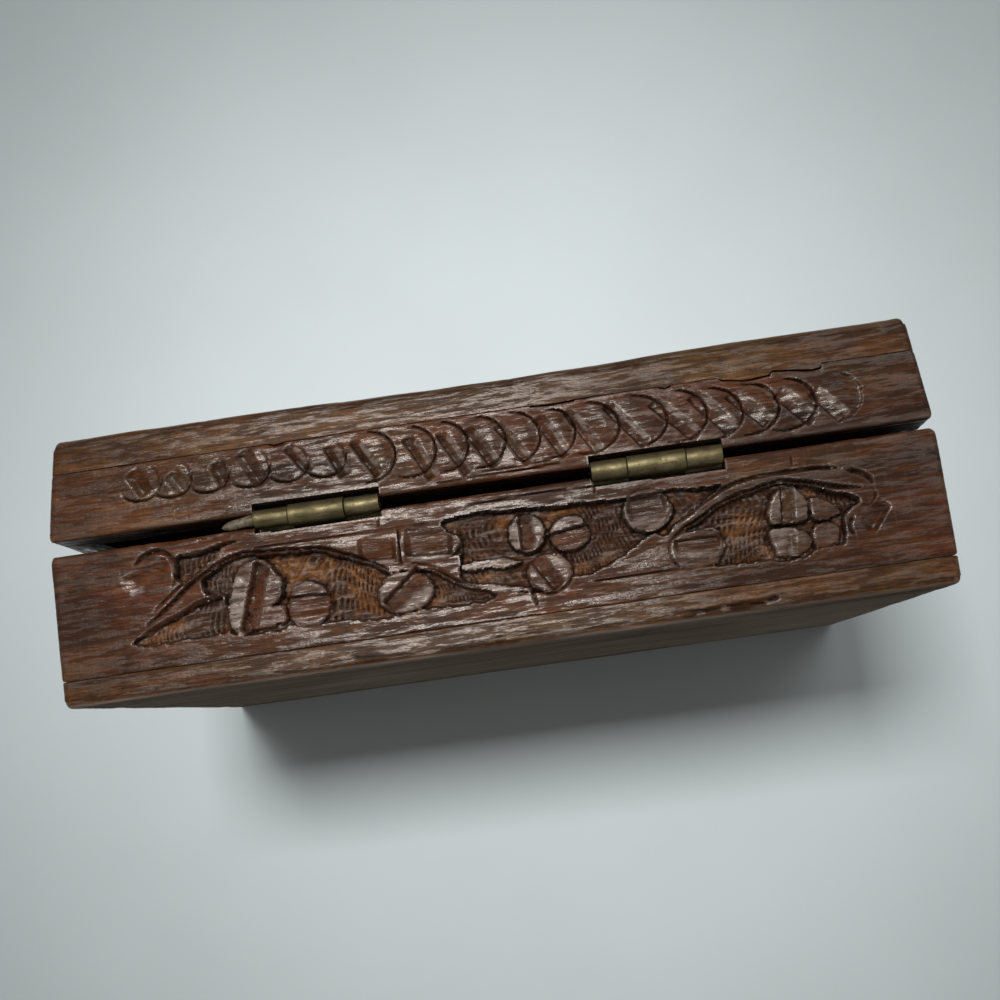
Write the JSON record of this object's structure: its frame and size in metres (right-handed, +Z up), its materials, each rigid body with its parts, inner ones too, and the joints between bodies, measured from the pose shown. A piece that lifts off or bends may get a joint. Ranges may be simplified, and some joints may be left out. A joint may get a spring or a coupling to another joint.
{
  "type": "keepsake box",
  "caption": "Small carved wooden keepsake box: shallow base tray and matching hinged lid, joined at the back by two brass butt hinges.",
  "frame": {"origin": "middle of the underside of the base, on the surface that the box stands on", "axes": "+Z up, +X along the box to the right as seen from the front, +Y to the back, the hinge side"},
  "size_m": [0.2032, 0.1284, 0.0636],
  "materials": {
    "carved_wood": "worn wax over carved rosewood, satin on the high spots",
    "board_wood": "worn wax over plain rosewood",
    "hinge_brass": "aged, darkened brass with worn highlights",
    "screw_brass": "aged brass"
  },
  "bodies": {
    "base": {"bottom_board": "board_wood", "base_front_wall": "carved_wood", "base_rear_wall": "carved_wood", "base_left_wall": "carved_wood", "base_right_wall": "carved_wood", "left_base_leaf": "hinge_brass", "right_base_leaf": "hinge_brass", "left_hinge_pin": "hinge_brass", "right_hinge_pin": "hinge_brass", "base_leaf_screws": "screw_brass"},
    "lid": {"lid_top_board": "board_wood", "lid_front_rail": "carved_wood", "lid_rear_rail": "carved_wood", "lid_left_rail": "carved_wood", "lid_right_rail": "carved_wood", "left_lid_leaf": "hinge_brass", "right_lid_leaf": "hinge_brass", "lid_leaf_screws": "screw_brass"}
  },
  "joints": [
    {"name": "lid_hinge", "type": "hinge", "parent": "base", "child": "lid", "pos_m": [0, 0.06245, 0.0367], "axis": [-0.9999, 0, -0.0103], "range_deg": [0, 110]}
  ]
}
